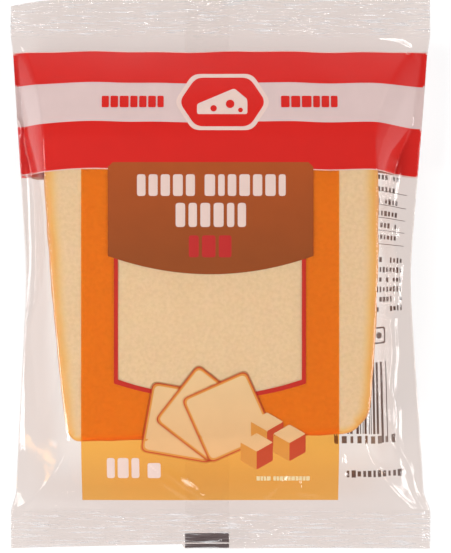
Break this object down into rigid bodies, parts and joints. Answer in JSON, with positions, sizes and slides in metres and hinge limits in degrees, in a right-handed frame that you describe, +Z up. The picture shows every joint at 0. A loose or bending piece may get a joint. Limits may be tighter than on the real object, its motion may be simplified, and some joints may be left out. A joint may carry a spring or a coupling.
{
  "type": "block of cheese in a flow pack",
  "caption": "Flat block of smoked cheese sealed in a clear printed flow pack with crimped end seals and a back fin seal, lying on its back.",
  "frame": {"origin": "middle of the pack's length and width, at the level it rests on", "axes": "+Z up out of the printed front, +Y towards the upper end of the print, +X to the print's right"},
  "size_m": [0.123, 0.161, 0.023],
  "materials": {
    "packed_cheese": "glossy clear film with red bands and a translucent orange panel over pale yellow cheese"
  },
  "bodies": {
    "root": {"sealed_pack": "packed_cheese"}
  },
  "joints": []
}
